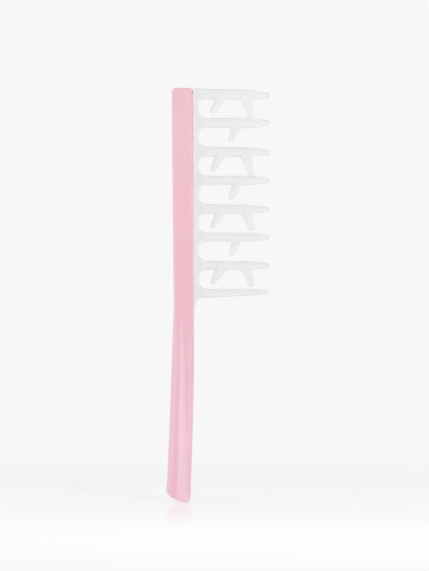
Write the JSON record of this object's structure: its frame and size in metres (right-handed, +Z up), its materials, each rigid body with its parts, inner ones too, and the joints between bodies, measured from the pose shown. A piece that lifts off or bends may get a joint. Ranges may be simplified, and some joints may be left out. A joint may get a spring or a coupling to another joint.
{
  "type": "wide tooth comb",
  "caption": "Wide tooth styling comb: a slim two-part handle clamping a flat plate of widely spaced teeth with short angled prongs in the gaps.",
  "frame": {"origin": "centre of the bounding box at its lowest level, the foot of the handle", "axes": "+Z up along the handle from its free end to the toothed end; teeth point to +X; +Y is the back face, -Y the front face"},
  "size_m": [0.0576, 0.013, 0.23],
  "materials": {
    "handle_front": "pale pink moulded ABS, polished",
    "handle_back": "pale pink moulded ABS, polished",
    "tooth_plate": "white moulded nylon, satin to gloss"
  },
  "bodies": {
    "root": {"front_shell": "handle_front", "back_shell": "handle_back", "comb_insert": "tooth_plate"}
  },
  "joints": []
}
